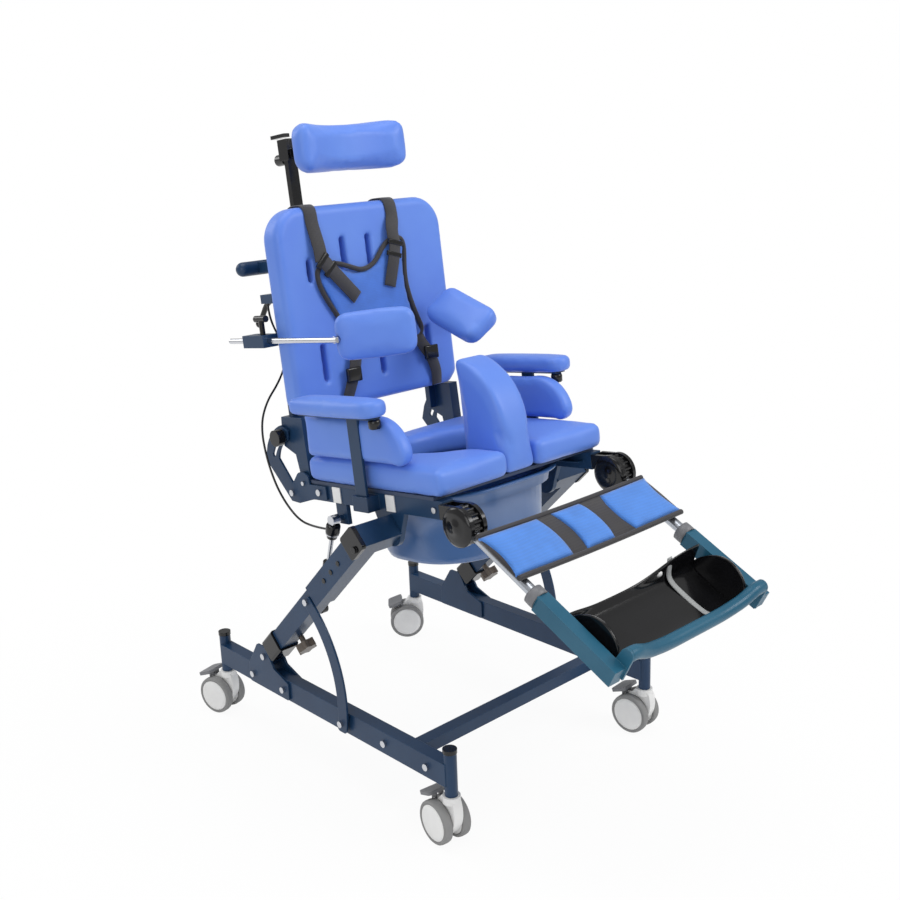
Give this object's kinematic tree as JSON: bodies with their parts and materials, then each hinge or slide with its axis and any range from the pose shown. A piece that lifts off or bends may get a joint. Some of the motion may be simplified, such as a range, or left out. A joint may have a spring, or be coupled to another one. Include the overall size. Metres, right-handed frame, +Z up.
{
  "type": "tilt_shower_commode_chair",
  "caption": "Tilt-in-space shower commode chair on castors: blue pads, harness vest, lateral pads, headrest, pan, calf strap and foot tray on a navy tube frame",
  "frame": {"origin": "On the floor, under the middle of the whole chair", "axes": "+Z up, the chair faces -Y, +X is the sitter's left"},
  "size_m": [0.5725, 1.0207, 1.1377],
  "materials": {
    "navy_tube": "gloss powder coat",
    "teal_tube": "gloss powder coat",
    "chrome": "polished",
    "black_plastic": "moulded gloss",
    "brown_plastic": "moulded",
    "blue_pad": "smooth coated foam skin",
    "webbing": "woven webbing",
    "blue_fabric": "padded cloth",
    "pan_plastic": "translucent",
    "white_plastic": "moulded",
    "grey_rubber": "solid tread",
    "grey_plastic": "moulded",
    "seat_ply": "board"
  },
  "bodies": {
    "base": {"base_rails": "navy_tube", "base_cross_tube": "navy_tube", "base_caps": "black_plastic", "leg_gussets": "navy_tube", "lower_legs": "navy_tube", "leg_braces": "navy_tube", "base_bolts": "chrome"},
    "upper_frame": {"upper_legs": "navy_tube", "elbow_caps": "black_plastic"},
    "height_knob_r": {"height_knob_right": "brown_plastic"},
    "height_knob_l": {"height_knob_left": "brown_plastic"},
    "gas_tube": {"gas_cylinder": "black_plastic"},
    "gas_shaft": {"gas_rod": "chrome"},
    "seat": {"seat_rails": "navy_tube", "recline_brackets": "navy_tube", "seat_board": "seat_ply", "seat_pad": "blue_pad", "seat_bolts": "chrome", "seat_clips": "white_plastic", "legrest_hubs": "black_plastic"},
    "pan": {"commode_pan": "pan_plastic"},
    "pommel_block": {"pommel": "blue_pad"},
    "arm_right": {"arm_frame_right": "navy_tube", "arm_pads_right": "blue_pad"},
    "arm_left": {"arm_frame_left": "navy_tube", "arm_pads_left": "blue_pad"},
    "back": {"back_frame": "navy_tube", "push_bar": "navy_tube", "back_pad": "blue_pad", "clamp_knobs": "black_plastic", "lateral_clamps": "navy_tube", "harness_straps": "webbing", "chest_vest": "blue_fabric", "headrest_receiver": "navy_tube", "release_cable": "black_plastic"},
    "lever": {"release_lever": "black_plastic"},
    "headrest_mast": {"headrest_bar": "black_plastic"},
    "headrest": {"headrest_hinge": "black_plastic", "headrest_pad": "blue_pad"},
    "lateral_right": {"lateral_rod_right": "chrome", "lateral_pad_right": "blue_pad"},
    "lateral_left": {"lateral_rod_left": "chrome", "lateral_pad_left": "blue_pad"},
    "legrest": {"legrest_tubes": "chrome", "calf_strap": "blue_fabric"},
    "foot_slide": {"foot_tubes": "teal_tube"},
    "foot_flap": {"foot_bow": "teal_tube", "foot_tray": "black_plastic"},
    "castor_front_right": {"caster_housing_front_right": "white_plastic"},
    "wheels_front_right": {"caster_wheels_front_right": "grey_rubber"},
    "pedal_front_right": {"brake_pedal_front_right": "grey_plastic"},
    "castor_rear_right": {"caster_housing_rear_right": "white_plastic"},
    "wheels_rear_right": {"caster_wheels_rear_right": "grey_rubber"},
    "pedal_rear_right": {"brake_pedal_rear_right": "grey_plastic"},
    "castor_front_left": {"caster_housing_front_left": "white_plastic"},
    "wheels_front_left": {"caster_wheels_front_left": "grey_rubber"},
    "pedal_front_left": {"brake_pedal_front_left": "grey_plastic"},
    "castor_rear_left": {"caster_housing_rear_left": "white_plastic"},
    "wheels_rear_left": {"caster_wheels_rear_left": "grey_rubber"},
    "pedal_rear_left": {"brake_pedal_rear_left": "grey_plastic"}
  },
  "joints": [
    {"name": "height_adjust", "type": "slide", "parent": "base", "child": "upper_frame", "axis": [0, -0.7071, 0.7071], "range_m": [0, 0.075]},
    {"name": "height_knob_turn_right", "type": "hinge", "parent": "base", "child": "height_knob_r", "pos_m": [-0.236, 0.1886, 0.21908], "axis": [0, 0.7071, 0.7071], "continuous": true},
    {"name": "height_knob_turn_left", "type": "hinge", "parent": "base", "child": "height_knob_l", "pos_m": [0.236, 0.1886, 0.21908], "axis": [0, 0.7071, 0.7071], "continuous": true},
    {"name": "tilt", "type": "hinge", "parent": "upper_frame", "child": "seat", "pos_m": [0, -0.02, 0.48], "axis": [-1, 0, 0], "range_deg": [0, 25], "deforming": ["release_cable"]},
    {"name": "gas_swing", "type": "hinge", "parent": "upper_frame", "child": "gas_tube", "pos_m": [-0.207, 0.1695, 0.2905], "axis": [1, 0, 0], "range_deg": [-1, 12.34]},
    {"name": "gas_stroke", "type": "slide", "parent": "gas_tube", "child": "gas_shaft", "axis": [0, -0.2811, 0.9597], "range_m": [-0.05033, 0.001]},
    {"name": "recline", "type": "hinge", "parent": "seat", "child": "back", "pos_m": [0, 0.21443, 0.51468], "axis": [-1, 0, 0], "range_deg": [0, 30], "deforming": ["release_cable"]},
    {"name": "legrest_angle", "type": "hinge", "parent": "seat", "child": "legrest", "pos_m": [0, -0.18883, 0.52641], "axis": [-1, 0, 0], "range_deg": [-30, 25]},
    {"name": "legrest_length", "type": "slide", "parent": "legrest", "child": "foot_slide", "axis": [0, -0.891, -0.454], "range_m": [0, 0.08]},
    {"name": "foot_flip", "type": "hinge", "parent": "foot_slide", "child": "foot_flap", "pos_m": [0, -0.49736, 0.40063], "axis": [1, 0, 0], "range_deg": [0, 60]},
    {"name": "headrest_height", "type": "slide", "parent": "back", "child": "headrest_mast", "axis": [0, 0.1167, 0.9932], "range_m": [-0.02, 0.06]},
    {"name": "headrest_tilt", "type": "hinge", "parent": "headrest_mast", "child": "headrest", "pos_m": [0, 0.33491, 1.09459], "axis": [-1, 0, 0], "range_deg": [-20, 20]},
    {"name": "arm_lift_right", "type": "slide", "parent": "seat", "child": "arm_right", "axis": [0, 0.1132, 0.9936], "range_m": [0, 0.05]},
    {"name": "arm_lift_left", "type": "slide", "parent": "seat", "child": "arm_left", "axis": [0, 0.1132, 0.9936], "range_m": [0, 0.05]},
    {"name": "lateral_slide_right", "type": "slide", "parent": "back", "child": "lateral_right", "axis": [0, 0.9932, -0.1167], "range_m": [-0.03, 0.05]},
    {"name": "lateral_slide_left", "type": "slide", "parent": "back", "child": "lateral_left", "axis": [0, -0.9932, 0.1167], "range_m": [0, 0.06]},
    {"name": "pommel_lift", "type": "slide", "parent": "seat", "child": "pommel_block", "axis": [0, 0.1132, 0.9936], "range_m": [0, 0.15]},
    {"name": "pan_slide", "type": "slide", "parent": "seat", "child": "pan", "axis": [0, 0.9936, -0.1132], "range_m": [0, 0.3]},
    {"name": "release_squeeze", "type": "hinge", "parent": "back", "child": "lever", "pos_m": [-0.1475, 0.32246, 0.83426], "axis": [1, 0, 0], "range_deg": [0, 25], "stiffness_Nm_per_rad": 0.6, "springref_deg": -17.19},
    {"name": "swivel_front_right", "type": "hinge", "parent": "base", "child": "castor_front_right", "pos_m": [-0.25, -0.207, 0.09], "axis": [0, 0, 1], "continuous": true},
    {"name": "roll_front_right", "type": "hinge", "parent": "castor_front_right", "child": "wheels_front_right", "pos_m": [-0.24756, -0.18715, 0.0375], "axis": [-0.9925, 0.1219, 0], "continuous": true},
    {"name": "brake_front_right", "type": "hinge", "parent": "castor_front_right", "child": "pedal_front_right", "pos_m": [-0.24549, -0.17028, 0.067], "axis": [-0.9925, 0.1219, 0], "range_deg": [0, 10]},
    {"name": "swivel_rear_right", "type": "hinge", "parent": "base", "child": "castor_rear_right", "pos_m": [-0.25, 0.447, 0.09], "axis": [0, 0, 1], "continuous": true},
    {"name": "roll_rear_right", "type": "hinge", "parent": "castor_rear_right", "child": "wheels_rear_right", "pos_m": [-0.25518, 0.46632, 0.0375], "axis": [-0.9659, -0.2588, 0], "continuous": true},
    {"name": "brake_rear_right", "type": "hinge", "parent": "castor_rear_right", "child": "pedal_rear_right", "pos_m": [-0.25958, 0.48274, 0.067], "axis": [-0.9659, -0.2588, 0], "range_deg": [0, 10]},
    {"name": "swivel_front_left", "type": "hinge", "parent": "base", "child": "castor_front_left", "pos_m": [0.25, -0.207, 0.09], "axis": [0, 0, 1], "continuous": true},
    {"name": "roll_front_left", "type": "hinge", "parent": "castor_front_left", "child": "wheels_front_left", "pos_m": [0.24826, -0.18708, 0.0375], "axis": [-0.9962, -0.0872, 0], "continuous": true},
    {"name": "brake_front_left", "type": "hinge", "parent": "castor_front_left", "child": "pedal_front_left", "pos_m": [0.24677, -0.17014, 0.067], "axis": [-0.9962, -0.0872, 0], "range_deg": [0, 10]},
    {"name": "swivel_rear_left", "type": "hinge", "parent": "base", "child": "castor_rear_left", "pos_m": [0.25, 0.447, 0.09], "axis": [0, 0, 1], "continuous": true},
    {"name": "roll_rear_left", "type": "hinge", "parent": "castor_rear_left", "child": "wheels_rear_left", "pos_m": [0.23468, 0.45986, 0.0375], "axis": [-0.6428, -0.766, 0], "continuous": true},
    {"name": "brake_rear_left", "type": "hinge", "parent": "castor_rear_left", "child": "pedal_rear_left", "pos_m": [0.22166, 0.47078, 0.067], "axis": [-0.6428, -0.766, 0], "range_deg": [0, 10]}
  ],
  "couplings": [
    {"joint": "gas_swing", "follows": "tilt", "ratio": 0.45366},
    {"joint": "gas_stroke", "follows": "tilt", "m_per_rad": -0.11305}
  ]
}
